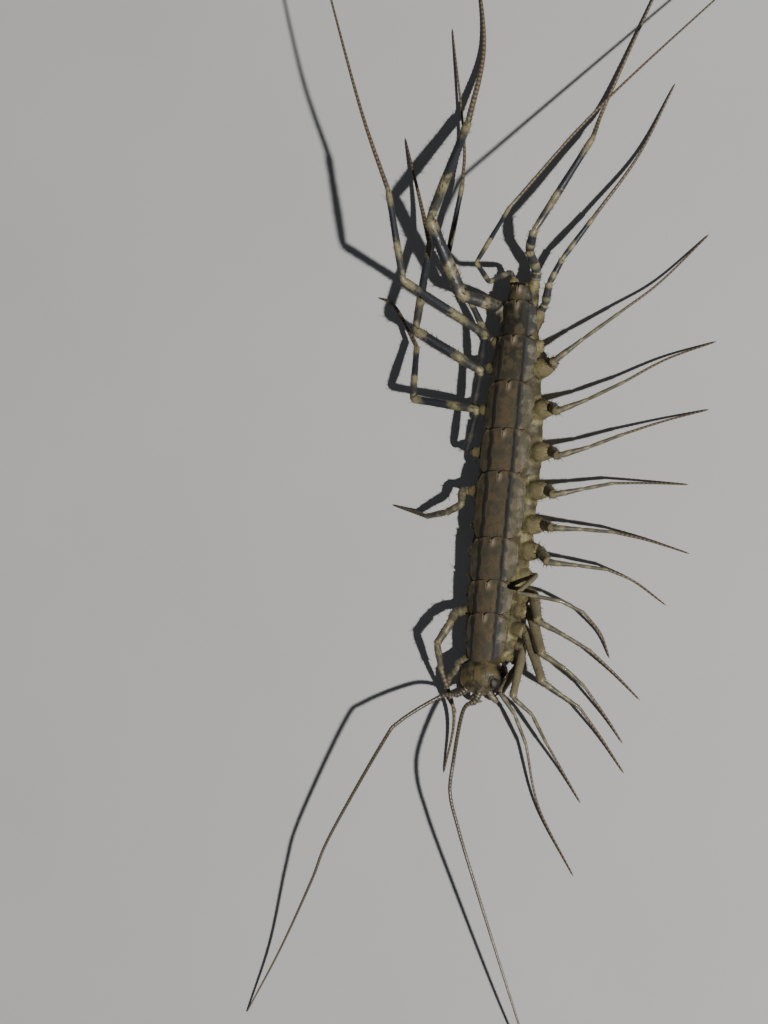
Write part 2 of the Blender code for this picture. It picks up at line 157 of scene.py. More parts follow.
# %% Joints of the legs and feelers
LEFT_LEGS = {
    1: ((8.1, -12.6, 2.6), (9.1, -14.1, 2.2), (9.9, -16.2, 1.4), (10.8, -20.6, 0.5), (13.2, -25.4)),
    2: ((8.95, -12.9, 3.9), (10.3, -14.1, 3.0), (11.3, -16.1, 1.6), (12.4, -18.0, 0.6), (13.7, -20.3)),
    3: ((11.0, -11.8, 3.3), (12.3, -12.7, 2.6), (13.6, -13.6, 1.7), (15.1, -15.7, 0.6), (16.7, -18.2)),
    4: ((11.0, -9.9, 3.4), (12.6, -10.9, 2.7), (13.9, -12.1, 1.7), (15.4, -14.2, 0.6), (16.6, -16.1)),
    5: ((10.7, -7.6, 3.6), (12.6, -8.6, 2.8), (14.4, -9.7, 1.8), (16.1, -11.3, 0.7), (17.8, -13.1)),
    6: ((9.3, -5.6, 4.4), (12.3, -6.2, 3.2), (13.9, -7.0, 2.0), (15.1, -8.5, 0.8), (15.7, -10.2)),
    7: ((11.4, -3.5, 3.4), (13.4, -3.7, 2.6), (15.5, -4.0, 1.7), (17.5, -4.9, 0.7), (19.6, -6.5)),
    8: ((11.7, -1.1, 3.3), (13.7, -1.2, 2.4), (15.9, -1.4, 1.6), (18.4, -2.0, 0.7), (21.2, -2.9)),
    9: ((11.8, 1.2, 3.3), (13.8, 1.6, 2.4), (15.9, 2.0, 1.6), (18.4, 2.0, 0.7), (21.1, 1.9)),
    10: ((12.1, 3.9, 3.3), (14.2, 4.5, 2.4), (16.6, 5.4, 1.6), (19.4, 6.3, 0.7), (22.5, 7.1)),
    11: ((12.0, 7.0, 3.3), (14.1, 7.8, 2.4), (16.6, 9.0, 1.6), (19.6, 10.6, 0.7), (23.0, 11.8)),
    12: ((11.8, 10.5, 3.3), (13.8, 12.0, 2.6), (16.3, 13.8, 1.7), (19.1, 15.9, 0.7), (22.5, 19.2)),
    14: ((11.5, 15.9, 2.6), (12.4, 17.6, 2.4), (14.5, 20.4, 1.5), (17.7, 24.8, 0.5), (20.2, 29.7)),
    15: ((10.1, 18.2, 3.4), (10.4, 19.5, 4.2), (14.5, 26.0, 2.0), (15.6, 28.8, 0.5), (20.0, 38.5)),
}
RIGHT_LEGS = {
    1: ((5.2, -10.9, 2.2), (4.6, -11.5, 1.8), (4.4, -12.3, 1.1), (4.6, -13.0, 0.5), (5.1, -14.1)),
    4: ((4.6, -7.8, 3.1), (3.7, -9.2, 3.4), (4.0, -11.0, 2.5), (4.9, -14.3, 1.2), (4.2, -18.3)),
    9: ((5.4, 0.5, 2.7), (4.4, 0.0, 2.6), (3.0, -0.3, 1.4), (1.8, 0.1, 0.6), (0.6, 0.5)),
    10: ((6.48, 7.18, 2.9), (2.0, 7.9, 3.6), (2.3, 11.6, 1.8), (0.8, 14.4, 0.6), (-0.4, 15.1)),
    11: ((6.76, 9.86, 2.9), (2.2, 12.7, 4.6), (3.2, 18.8, 2.6), (2.5, 22.0, 1.2), (1.5, 26.3)),
    12: ((7.04, 12.39, 3.1), (1.3, 16.1, 9.6), (0.3, 22.3, 9.6), (-1.7, 28.3, 9.5), (-4.6, 39.2, 8.2)),
    13: ((6.1, 14.6, 2.2), (4.4, 17.6, 2.6), (5.5, 23.0, 1.6), (5.6, 26.2, 0.9), (4.8, 33.9)),
    14: ((5.4, 15.1, 4.2), (3.2, 20.4, 6.0), (5.9, 27.3, 1.7), (7.0, 32.5, 0.4), (6.5, 38.5)),
    15: ((7.3, 16.0, 5.0), (6.4, 17.3, 7.2), (8.7, 21.1, 7.9), (15.2, 28.3, 5.2), (25.8, 38.0, 3.8)),
}
RIGHT_ANTENNA = (
    (3.9, -12.9, 4.2), (1.1, -14.6, 5.8), (-0.1, -16.1, 6.2), (-3.8, -22.7, 5.0),
    (-5.1, -25.9, 4.2), (-7.3, -30.8, 1.8), (-9.7, -35.4),
)
LEFT_ANTENNA = (
    (5.5, -13.9, 3.9), (4.8, -17.5, 5.5), (4.6, -19.6, 5.4), (5.1, -21.8, 5.2),
    (6.1, -25.2, 4.6), (9.2, -35.1, 2.4), (11.1, -40.8),
)
LEGS = {1: LEFT_LEGS, -1: RIGHT_LEGS}
SIDE_NAMES = {1: "left", -1: "right"}
EVERY_HIP = [(side, pair) for side in LEGS for pair in range(1, LAST_PAIR + 1)]
LEG_GIRTH = 0.17
THIGH_GIRTH = 0.33
FULL_THIGH_GIRTH = 0.43
FULL_THIGHS = (3, 4, 5, 7, 8, 9, 10, 11, 12)
SLIM_THIGHS = {1: {6: 0.2}, -1: {10: 0.26, 11: 0.28, 12: 0.27}}
STOUT_LEGS = {
    1: {14: 0.27, 15: 0.38},
    -1: {1: 0.28, 4: 0.35, 9: 0.32, 10: 0.35, 11: 0.42, 12: 0.36, 13: 0.27, 14: 0.52, 15: 0.22},
}


def coxa_line(side, pair):
    """Start and end of a hip and the way it points; side is 1 on the left and -1 on the right."""
    y = COXA_STATIONS[pair - 1]
    turn = (pair - STRAIGHT_PAIR) / (LAST_PAIR - STRAIGHT_PAIR)
    sweep = (HIND_SWEEP if turn > 0 else FRONT_SWEEP) * math.copysign(abs(turn) ** 2.2, turn)
    points_to = Vector((side * math.cos(sweep), math.sin(sweep), COXA_RISE)).normalized()
    if pair == LAST_PAIR:
        start = Vector((body_x(y) + side * LAST_COXA_SPREAD, y, COXA_HEIGHT))
        return start, start + points_to * LAST_COXA_LENGTH, points_to
    root = COXA_ROOT_SHARE * half_width(y)
    start = Vector((body_x(y) + side * root, y, COXA_HEIGHT))
    side_reach = max(flank_width(y), HIND_COXA_SHARE * half_width(y)) + COXA_REACH
    reach = side_reach - root - 0.35 * abs(math.sin(sweep))
    return start, start + points_to * (reach / math.cos(sweep) ** 0.3), points_to


def coxa_radius(pair):
    return COXA_RADIUS * (FRONT_COXA_SHARE if pair <= FRONT_PAIRS else 1)


def coxa_base(pair):
    """Radius of a hip where it leaves the flank, as much as the next hips leave room for."""
    if pair == LAST_PAIR:
        return 1.1 * coxa_radius(pair)
    y = COXA_STATIONS[pair - 1]
    nearest = min(abs(y - other) for other in COXA_STATIONS if other != y)
    return max(coxa_radius(pair), min(COXA_SPREAD * COXA_RADIUS, 0.42 * nearest))


def is_full(side, pair):
    """Whether this leg has a full thigh and a swollen hip."""
    return side > 0 and pair in FULL_THIGHS


def full_hip_base(pair):
    """Radius of a swollen hip at its widest."""
    return FULL_HIP_SWELL * min(COXA_SPREAD * COXA_RADIUS, 1.12 * coxa_base(pair))


print("legs left:", sum(map(len, LEGS.values())), "of", len(EVERY_HIP))

# %% [markdown]
# ## Small helpers for meshes
# A finished piece is a plain mesh in metres with its object at the origin. These helpers put a
# piece in the scene, turn its modifiers into plain mesh, write a number on each point for the
# materials to read, and shrink it from millimetres into the frame.

# %% Mesh helpers
def add_piece(name, data):
    """Puts a mesh, a lamp or a camera in the scene."""
    made = bpy.data.objects.new(name, data)
    bpy.context.scene.collection.objects.link(made)
    return made


def piece_of(bm, name):
    """Puts a drawn mesh in the scene."""
    mesh = bpy.data.meshes.new(name)
    bm.to_mesh(mesh)
    bm.free()
    return add_piece(name, mesh)


def mark(mesh, name, values):
    """Writes one number on each point of a mesh."""
    layer = mesh.attributes.new(name, "FLOAT", "POINT")
    layer.data.foreach_set("value", np.asarray(values, np.float32))


def points_of(mesh):
    flat = np.empty(len(mesh.vertices) * 3, np.float32)
    mesh.vertices.foreach_get("co", flat)
    return flat.reshape(-1, 3).astype(float)


def normals_of(mesh):
    return np.array([vertex.normal for vertex in mesh.vertices])


def set_points(mesh, points):
    mesh.vertices.foreach_set("co", np.asarray(points, np.float32).ravel())
    mesh.update()


def apply_modifiers(piece):
    """Turns what the modifiers make into the piece's own plain mesh."""
    bpy.context.view_layer.update()
    graph = bpy.context.evaluated_depsgraph_get()
    seen = piece.evaluated_get(graph)
    mesh = bpy.data.meshes.new_from_object(seen, preserve_all_data_layers=True, depsgraph=graph)
    piece.modifiers.clear()
    piece.data = mesh
    return piece


def into_frame(piece, slot, *nodes):
    """Turns a piece from millimetres into metres in the frame and hands it to its body."""
    points = (points_of(piece.data) - (MIDDLE_X, MIDDLE_Y, 0)) * MM
    points[:, 2] = np.clip(points[:, 2], FLOOR, TOP)
    set_points(piece.data, points)
    piece.data.shade_smooth()
    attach(piece, "root")
    if nodes:
        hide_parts(*nodes)
    print(piece.name, len(piece.data.polygons), "faces")


def wrinkles(points, *waves):
    """Soft noise on each point, a sum of waves given as fineness and height."""
    return np.array([sum(height * noise.noise(Vector(p) * fine) for fine, height in waves)
                     for p in points])


def hump(value, width):
    """1 where a value is 0, falling smoothly to almost 0 at twice the width."""
    return np.exp(-((value / width) ** 2))


print("mesh helpers ready")

# %% [markdown]
# ## Small helpers for node trees
# Geometry trees and material trees are built alike: a node is added, its settings are set, and each
# input is fed with a plain value or with the output of another node.

# %% Node helpers
def add(tree, kind, feeds=(), **settings):
    """Outputs of a new node; feeds gives an input, by name or number, a value or another output."""
    made = tree.nodes.new(kind)
    for name, value in settings.items():
        setattr(made, name, value)
    for key, value in dict(feeds).items():
        if isinstance(value, bpy.types.NodeSocket):
            tree.links.new(value, made.inputs[key])
        else:
            made.inputs[key].default_value = value
    return made.outputs


def add_socket(tree, label, kind, value=None, way="INPUT"):
    """An input or output of a node group, with its first value."""
    made = tree.interface.new_socket(label, in_out=way, socket_type="NodeSocket" + kind)
    if value is not None:
        made.default_value = value


def new_tree(name, inputs):
    """An empty geometry tree with named inputs, each given as label, kind and first value."""
    tree = bpy.data.node_groups.new(name, "GeometryNodeTree")
    add_socket(tree, "Geometry", "Geometry")
    for label, kind, value in inputs:
        add_socket(tree, label, kind, value)
    add_socket(tree, "Geometry", "Geometry", way="OUTPUT")
    return tree, add(tree, "NodeGroupInput")


def join(tree, *parts):
    """Several geometries as one."""
    made = tree.nodes.new("GeometryNodeJoinGeometry")
    for part in parts:
        tree.links.new(part, made.inputs[0])
    return made.outputs[0]


def end_tree(tree, geometry, finish):
    """Every tree ends with its instances made real and its material set."""
    real = add(tree, "GeometryNodeRealizeInstances", {"Geometry": geometry})
    done = add(tree, "GeometryNodeSetMaterial", {"Geometry": real[0], "Material": finish})
    add(tree, "NodeGroupOutput", {"Geometry": done[0]})


def grow(piece, tree, values):
    """Runs a geometry tree on a piece with these inputs and leaves plain mesh."""
    modifier = piece.modifiers.new(tree.name, "NODES")
    modifier.node_group = tree
    inputs = [item for item in tree.interface.items_tree if item.in_out == "INPUT"]
    sockets = {item.name: item.identifier for item in inputs}
    for label, value in values.items():
        modifier[sockets[label]] = value
    apply_modifiers(piece)


def number(tree, name):
    """A geometry tree's own reading of the number written on each point."""
    node = add(tree, "GeometryNodeInputNamedAttribute", {"Name": name}, data_type="FLOAT")
    return node["Attribute"]


def maths(tree, operation, first, second=0.0):
    return add(tree, "ShaderNodeMath", {0: first, 1: second}, operation=operation)[0]


def times(tree, first, second):
    return maths(tree, "MULTIPLY", first, second)


print("node helpers ready")

# %% [markdown]
# ## What all the finishes share
# The shell of a centipede is a thin, slightly waxy skin with clouded colour, fine specks and a
# leathery grain. All finishes need this, so it is one node group. It puts out only masks and a
# height, and each material mixes its own colours with them.

# %% The cuticle group
def ramp(tree, value, low, high, to_low=0.0, to_high=1.0):
    """A smooth step of a number from low to high."""
    feeds = {"Value": value, "From Min": low, "From Max": high, "To Min": to_low, "To Max": to_high}
    return add(tree, "ShaderNodeMapRange", feeds, interpolation_type="SMOOTHSTEP")[0]


def cuticle_group():
    group = bpy.data.node_groups.new("Cuticle", "ShaderNodeTree")
    add_socket(group, "Place", "Vector")
    add_socket(group, "Cloud Scale", "Float", 1.4)
    add_socket(group, "Grain Scale", "Float", 9.0)
    for label in ("Clouds", "Specks", "Relief"):
        add_socket(group, label, "Float", way="OUTPUT")
    given = add(group, "NodeGroupInput")
    coarse = {"Vector": given["Place"], "Scale": given["Cloud Scale"]}
    fine = {"Vector": given["Place"], "Scale": given["Grain Scale"]}
    cloud = add(group, "ShaderNodeTexNoise", {**coarse, "Detail": 4.0})[0]
    speck = add(group, "ShaderNodeTexNoise", {**fine, "Detail": 2.0})[0]
    cells = add(group, "ShaderNodeTexVoronoi", fine)["Distance"]
    add(group, "NodeGroupOutput", {
        "Clouds": ramp(group, cloud, 0.38, 0.62),
        "Specks": ramp(group, speck, 0.56, 0.68),
        "Relief": maths(group, "ADD", cells, speck),
    })
    return group


CUTICLE = cuticle_group()
print("cuticle group:", len(CUTICLE.nodes), "nodes")

# %% [markdown]
# ## How a material is made
# Each material is made alike: a Principled shader, the place on the object in millimetres, and the
# cuticle group, whose relief goes through one Bump node. Coats of colour are laid over a ground,
# each through its own mask, and hairs and spines are brown. What is the same all over, such as the
# sheen of the wax, is set on the shader itself.

# %% Material helpers
def as_light(screen):
    """A colour as a screen shows it, from 0 to 255, turned into light."""
    shown = [value / 255 for value in screen]
    light = [v / 12.92 if v < 0.04 else ((v + 0.055) / 1.055) ** 2.4 for v in shown]
    return (*light, 1.0)


HAIR_BROWN = (58, 46, 32)


def read(tree, name):
    """A material's own reading of the number written on each point."""
    return add(tree, "ShaderNodeAttribute", attribute_name=name)["Fac"]


def blend(tree, share, *pair):
    """A mix of two colours, each as a screen shows it or the output of another node."""
    first, second = (as_light(item) if isinstance(item, tuple) else item for item in pair)
    return add(tree, "ShaderNodeMix", {0: share, 6: first, 7: second}, data_type="RGBA")[2]


def lay(tree, ground, *coats):
    """Lays coats of colour over a ground, each given as mask, strength and colour."""
    for mask, strength, over in coats:
        ground = blend(tree, times(tree, mask, strength), ground, over)
    return ground


def new_material(name):
    """A material with its tree and its shader."""
    made = bpy.data.materials.new(name)
    made.use_nodes = True
    return made, made.node_tree, made.node_tree.nodes["Principled BSDF"]


def make_material(name, colours, clouds, grain, bump, shine, **values):
    """A material of cuticle; colours is the function that makes its colour from the masks."""
    made, tree, shader = new_material(name)
    for label, value in values.items():
        shader.inputs[label.replace("_", " ")].default_value = value
    place = add(tree, "ShaderNodeTexCoord")["Object"]
    in_mm = add(tree, "ShaderNodeMapping", {"Vector": place, "Scale": (1 / MM,) * 3})[0]
    feeds = {"Place": in_mm, "Cloud Scale": clouds, "Grain Scale": grain}
    skin = add(tree, "ShaderNodeGroup", feeds, node_tree=CUTICLE)
    relief = {"Height": skin["Relief"], "Distance": bump * MM, "Strength": 1.0}
    ends = {"Normal": add(tree, "ShaderNodeBump", relief)[0],
            "Roughness": ramp(tree, skin["Clouds"], 0.0, 1.0, *shine),
            "Base Color": lay(tree, colours(tree, skin), (read(tree, "hair"), 1, HAIR_BROWN))}
    for label, output in ends.items():
        tree.links.new(output, shader.inputs[label])
    return made


print("material helpers ready")

# %% [markdown]
# ## Finish of the back plates
# The back of this animal is tan-brown with two dark, slightly ragged stripes, and blotched towards
# the tail. The stripes follow the bent body, so they can't be drawn straight through space. Each
# point of a plate carries its distances from the middle line and from the rear edge instead, and
# the colours read those.

# %% Plate material
STRIPE_AT = 0.98
STRIPE_HALF = 0.13
STRIPE_EDGE = 0.12
STRIPE_WOBBLE = 0.12


def plate_colours(tree, skin):
    clouds, behind, tailward = skin["Clouds"], read(tree, "behind"), read(tree, "tailward")
    away = maths(tree, "ABSOLUTE", read(tree, "across"))
    wobble = times(tree, clouds, STRIPE_WOBBLE)
    stripe_line = maths(tree, "ADD", wobble, STRIPE_AT - STRIPE_WOBBLE / 2)
    off_stripe = maths(tree, "ABSOLUTE", maths(tree, "SUBTRACT", away, stripe_line))
    stripe = times(tree, ramp(tree, off_stripe, STRIPE_HALF, STRIPE_HALF + STRIPE_EDGE, 1.0, 0.0),
                   ramp(tree, behind, 0.05, 0.5, 0.55, 1.0))
    middle = blend(tree, clouds, (78, 68, 53), (60, 57, 47))
    margin = blend(tree, clouds, (80, 71, 54), (62, 59, 41))
    outside = ramp(tree, away, STRIPE_AT - 0.1, STRIPE_AT + 0.2)
    return lay(
        tree, blend(tree, outside, middle, margin),
        (skin["Specks"], 0.5, (52, 45, 34)),
        (tailward, 0.65, (63, 60, 45)),
        (tailward, ramp(tree, clouds, 0.1, 0.9), (34, 33, 27)),
        (ramp(tree, behind, 0.0, 0.3, 0.35, 0.0), 1, (74, 64, 42)),
        (stripe, 0.92, (31, 31, 30)),
        (read(tree, "slit_mound"), 1, (106, 94, 78)),
        (read(tree, "slit"), 1, (36, 28, 24)))


PLATE_FINISH = make_material("plate_cuticle", plate_colours, 1.3, 8.0, 0.007, (0.48, 0.64),
                             Coat_Weight=0.03, Specular_IOR_Level=0.25)
print("plate stripes at", STRIPE_AT, "mm from the middle line")

# %% [markdown]
# ## Finish of the flank and the hips
# Under the plates the animal is soft. The flank is olive-yellow and darker away from the hips, and
# each hip is paler on its outer face. The hips write how near a point is to them, so the colour can
# follow.

# %% Flank material
def flank_colours(tree, skin):
    hip = read(tree, "hip")
    return lay(
        tree, blend(tree, skin["Clouds"], (106, 100, 69), (67, 63, 43)),
        (ramp(tree, hip, 0.35, 0.8, 0.0, 0.6), 1, (108, 100, 73)),
        (ramp(tree, hip, 0.02, 0.26, 0.8, 0.0), 1, (48, 43, 28)),
        (read(tree, "belly"), 1, (150, 138, 104)),
        (skin["Specks"], 0.6, (60, 48, 30)))


FLANK_FINISH = make_material("flank_skin", flank_colours, 1.1, 10.0, 0.01, (0.5, 0.68),
                             Specular_IOR_Level=0.25, Subsurface_Weight=0.08,
                             Subsurface_Scale=0.3 * MM)
print("flank material ready")

# %% [markdown]
# ## Finish of the legs
# Each part of a leg is olive-cream with one broad and one narrow blue-black band, and warmer at the
# joints, while the long feet are ringed grey-brown. The bands have to follow the leg round every
# bend. So each point carries its place along the leg, counted in parts: 1 to 2 is the thigh, 2 to 3
# the next part, 3 to 4 the shin and 4 to 6 the foot. A second number says how strong the bands are
# there, and a third paints shade on the thighs of three hind legs, where the body's shadow falls on
# them.

# %% Leg material
FOOT_RING = 0.32
FEELER_RING = 0.26


def band(tree, part, start, end, soft):
    """1 between two shares of each part of a leg and 0 outside them."""
    rise = ramp(tree, part, start - soft, start + soft)
    return times(tree, rise, ramp(tree, part, end - soft, end + soft, 1.0, 0.0))


def on_rings(tree, length, low, high):
    """1 on each ring of a foot or feeler and 0 in the grooves between them."""
    wave = maths(tree, "SINE", times(tree, read(tree, "reach"), 2 * math.pi / length))
    return ramp(tree, wave, low, high)


def leg_colours(tree, skin):
    along, banded = read(tree, "along"), read(tree, "banded")
    part = maths(tree, "FRACT", maths(tree, "ADD", along, times(tree, skin["Clouds"], 0.06)))
    broad = band(tree, part, 0.46, 0.88, 0.05)
    narrow = times(tree, band(tree, part, 0.1, 0.28, 0.05), 0.85)
    joint = maths(tree, "SUBTRACT", 1.0, band(tree, part, 0.04, 0.94, 0.03))
    plain = maths(tree, "SUBTRACT", 1.0, banded)
    foot = blend(tree, on_rings(tree, FOOT_RING, -0.6, 0.9), (64, 55, 43), (100, 88, 68))
    return lay(
        tree, blend(tree, skin["Clouds"], (116, 111, 86), (88, 84, 63)),
        (plain, 0.8, (92, 85, 66)),
        (joint, 0.35, (112, 102, 74)),
        (maths(tree, "MAXIMUM", broad, narrow), banded, (32, 35, 41)),
        # painted shade on the thighs of three hind legs, where the body's shadow falls
        (read(tree, "shade"), 0.85, (30, 32, 36)),
        (ramp(tree, along, 3.9, 4.3), 1, foot),
        (skin["Specks"], 0.4, (52, 44, 34)))


LEG_FINISH = make_material("leg_cuticle", leg_colours, 2.2, 12.0, 0.006, (0.42, 0.58),
                           Coat_Weight=0.05, Specular_IOR_Level=0.35)
print("leg material ready")

# %% [markdown]
# ## Finish of the head, feelers, eyes and fangs
# The head is mottled brown and olive with dark marks. The feelers are ringed grey-brown. The eyes
# are black with a weak gloss, and the fangs are brown with dark, hard tips.

# %% Head, feeler, eye and fang materials
def head_colours(tree, skin):
    return lay(
        tree, blend(tree, skin["Clouds"], (84, 75, 52), (45, 42, 31)),
        (read(tree, "seam"), 0.6, (40, 34, 26)),
        (skin["Specks"], 0.6, (56, 44, 30)),
        (read(tree, "blush"), 1, (94, 74, 52)))


def feeler_colours(tree, skin):
    ringed = on_rings(tree, FEELER_RING, -0.5, 0.8)
    return lay(
        tree, blend(tree, ringed, (46, 41, 34), (82, 74, 58)),
        (ramp(tree, read(tree, "along"), 0.1, 1.0, 0.0, 0.55), 1, (104, 96, 78)),
        (skin["Specks"], 0.4, (44, 34, 26)))


def eye_colours(tree, skin):
    return blend(tree, skin["Clouds"], (16, 17, 16), (38, 34, 26))


def fang_colours(tree, skin):
    return lay(
        tree, blend(tree, skin["Clouds"], (74, 58, 38), (52, 40, 28)),
        (ramp(tree, read(tree, "along"), 2.2, 3.0), 1, (40, 22, 12)))


HEAD_FINISH = make_material("head_cuticle", head_colours, 1.5, 9.0, 0.01, (0.42, 0.58),
                            Coat_Weight=0.06, Specular_IOR_Level=0.35)
FEELER_FINISH = make_material("feeler_cuticle", feeler_colours, 2.2, 12.0, 0.004, (0.32, 0.5),
                              Coat_Weight=0.15, Coat_Roughness=0.3)
EYE_FINISH = make_material("eye_facets", eye_colours, 3.0, 16.0, 0.002, (0.4, 0.55),
                           Coat_Weight=0.1, Coat_Roughness=0.3)
FANG_FINISH = make_material("fang_cuticle", fang_colours, 2.4, 12.0, 0.004, (0.34, 0.5),
                            Coat_Weight=0.15, Coat_Roughness=0.25)
print("materials:", sorted(material.name for material in bpy.data.materials))

# %% [markdown]
# ## The camera and the light
# The animal clings to a wall in the picture, so here it stands on the floor and the camera turns
# with it: it looks down at 60 degrees from the animal's left, with the tail up. A very long lens
# keeps the picture flat. One small lamp from the same side throws sharp leg shadows, a wide weak
# one fills the other side, and the pale sky does the rest.

# %% Camera, floor and lamps
AIM = Vector((-MIDDLE_X, -MIDDLE_Y, 0)) * MM
CAMERA_DISTANCE = 0.8
FRAME_HEIGHT = 0.07211
SENSOR = 36.0
TO_CAMERA = Vector((math.sin(SIGHT_TILT), 0, math.cos(SIGHT_TILT)))
FLOOR_HALF = 4.0
FLOOR_ROUGHNESS = 0.8
FLOOR_GREYS = ((170, 171, 173), (179, 180, 182))
SKY_COLOUR = (0.78, 0.8, 0.83, 1)
SKY_STRENGTH = 0.09
# name, direction, distance, size, power and tint
LAMPS = (
    ("key", (1.05, -0.24, 1.0), 0.6, 0.014, 6.3, (1.0, 0.97, 0.92)),
    ("fill", (-0.9, 0.5, 0.9), 0.8, 0.5, 0.08, (0.93, 0.96, 1.0)),
)


def make_camera():
    data = bpy.data.cameras.new("camera")
    data.sensor_width = SENSOR
    data.lens = SENSOR * CAMERA_DISTANCE / FRAME_HEIGHT
    made = add_piece("camera", data)
    up = Vector((0, 1, 0))
    turn = Matrix((up.cross(TO_CAMERA), up, TO_CAMERA)).transposed().to_4x4()
    made.matrix_world = Matrix.Translation(AIM + TO_CAMERA * CAMERA_DISTANCE) @ turn
    bpy.context.scene.camera = made


def make_lamp(name, direction, distance, size, power, tint):
    data = bpy.data.lights.new(name, "AREA")
    data.shape = "DISK"
    data.size = size
    data.energy = power
    data.color = tint
    made = add_piece(name, data)
    way = Vector(direction).normalized()
    made.location = way * distance
    made.rotation_euler = way.to_track_quat("Z", "Y").to_euler()
    made.visible_camera = False


def make_floor():
    bm = bmesh.new()
    bmesh.ops.create_grid(bm, x_segments=8, y_segments=8, size=FLOOR_HALF)
    made = piece_of(bm, "floor")
    finish, tree, shader = new_material("floor_paint")
    shader.inputs["Roughness"].default_value = FLOOR_ROUGHNESS
    place = add(tree, "ShaderNodeTexCoord")["Object"]
    cloud = add(tree, "ShaderNodeTexNoise", {"Vector": place, "Scale": 60.0, "Detail": 3.0})
    tree.links.new(blend(tree, cloud[0], *FLOOR_GREYS), shader.inputs["Base Color"])
    made.data.materials.append(finish)


def make_sky():
    sky = bpy.data.worlds.new("sky")
    bpy.context.scene.world = sky
    sky.use_nodes = True
    background = sky.node_tree.nodes["Background"]
    background.inputs["Color"].default_value = SKY_COLOUR
    background.inputs["Strength"].default_value = SKY_STRENGTH


make_camera()
make_floor()
for lamp in LAMPS:
    make_lamp(*lamp)
make_sky()
print("lens", round(bpy.context.scene.camera.data.lens), "mm")

# %% [markdown]
# ## Bristles that grow on a surface
# Plates, flank and head carry short, stiff bristles that lean towards the tail. A geometry tree
# scatters them: it throws points on the faces, more where the mesh says that it is hairy, and
# stands a thin cone on each. The seed is fixed, so they fall alike every time.

# %% The bristle tree
def hair_cone(tree, sides, tip, root, length):
    """A thin cone whose points are marked as hair."""
    cone = add(tree, "GeometryNodeMeshCone",
               {"Vertices": sides, "Radius Top": tip, "Radius Bottom": root, "Depth": length})
    feeds = {"Geometry": cone["Mesh"], "Name": "hair", "Value": 1.0}
    return add(tree, "GeometryNodeStoreNamedAttribute", feeds, data_type="FLOAT")[0]


def chance(tree, low, high, seed):
    """A random number between low and high for each point."""
    feeds = {2: low, 3: high, "Seed": seed}
    return add(tree, "FunctionNodeRandomValue", feeds, data_type="FLOAT")[1]


def bristle_tree():
    tree, given = new_tree("Bristles", (
        ("Density", "Float", 6.0), ("Length", "Float", 0.25), ("Lean", "Float", 0.8),
        ("Seed", "Int", 1), ("Finish", "Material", None)))
    thick = times(tree, given["Density"], number(tree, "hairy"))
    roots = add(tree, "GeometryNodeDistributePointsOnFaces",
                {"Mesh": given["Geometry"], "Density": thick, "Seed": given["Seed"]})
    back = add(tree, "ShaderNodeCombineXYZ", {"Y": given["Lean"]})
    lie = add(tree, "ShaderNodeVectorMath", {0: roots["Normal"], 1: back[0]}, operation="ADD")
    turn = add(tree, "FunctionNodeAlignRotationToVector", {"Vector": lie[0]}, axis="Z")
    hair = hair_cone(tree, 4, 0.002, 0.016, given["Length"])
    size = chance(tree, 0.6, 1.3, given["Seed"])
    stood = add(tree, "GeometryNodeInstanceOnPoints",
                {"Points": roots["Points"], "Instance": hair, "Rotation": turn[0],
                 "Scale": size})
    end_tree(tree, join(tree, given["Geometry"], stood[0]), given["Finish"])
    return tree


BRISTLES = bristle_tree()
print("bristle tree:", len(BRISTLES.nodes), "nodes")

# %% [markdown]
# ## The flank and hips, as one skin
# On the animal the soft flank runs from head to tail without a break and swells into each hip. A
# lofted core and a short spindle for every hip, wider under a full thigh, are closed forms that run
# into each other. Remesh turns them into one surface, as clay would be smoothed together, and
# Smooth takes the steps out. Its voxels are a fifteenth of a millimetre, which is why this work is
# done in millimetres.

# %% Loft helpers
SPINDLE_SIDES = 16
SPINDLE_RINGS = 15


def add_loft(bm, rings):
    """Adds a closed solid through rings of points, with its ends closed by flat faces."""
    rows = [[bm.verts.new(point) for point in ring] for ring in rings]
    count = len(rows[0])
    for near, far in zip(rows, rows[1:]):
        for i in range(count):
            j = (i + 1) % count
            bm.faces.new((near[i], near[j], far[j], far[i]))
    bm.faces.new(rows[0])
    bm.faces.new(list(reversed(rows[-1])))


def ring_round(centre, along, radius):
    """Points of a circle square to a direction."""
    side = along.cross(Vector((0, 0, 1)))
    side = side.normalized() if side.length > 1e-4 else Vector((1, 0, 0))
    rise = side.cross(along).normalized()
    turns = [2 * math.pi * k / SPINDLE_SIDES for k in range(SPINDLE_SIDES)]
    return [centre + side * (radius * math.cos(a)) + rise * (radius * math.sin(a)) for a in turns]


def add_spindle(bm, start, end, widths):
    """A round closed form with round ends; widths gives its radius at even steps."""
    along = (end - start).normalized()
    marks = np.linspace(0, 1, len(widths))
    rings = [ring_round(start - along * widths[0] * 0.45, along, widths[0] * 0.6)]
    for share in np.linspace(0, 1, SPINDLE_RINGS):
        radius = float(np.interp(share, marks, widths))
        rings.append(ring_round(start.lerp(end, share), along, radius))
    rings.append(ring_round(end + along * widths[-1] * 0.35, along, widths[-1] * 0.6))
    add_loft(bm, rings)


def melt(bm, name, voxel, smoothing):
    """Closed forms that overlap, turned into one smooth skin."""
    bmesh.ops.recalc_face_normals(bm, faces=bm.faces)
    made = piece_of(bm, name)
    remesh = made.modifiers.new("melt", "REMESH")
    remesh.mode = "VOXEL"
    remesh.voxel_size = voxel
    smooth = made.modifiers.new("smooth", "SMOOTH")
    smooth.factor = 0.5
    smooth.iterations = smoothing
    return apply_modifiers(made)


print("loft helpers ready")

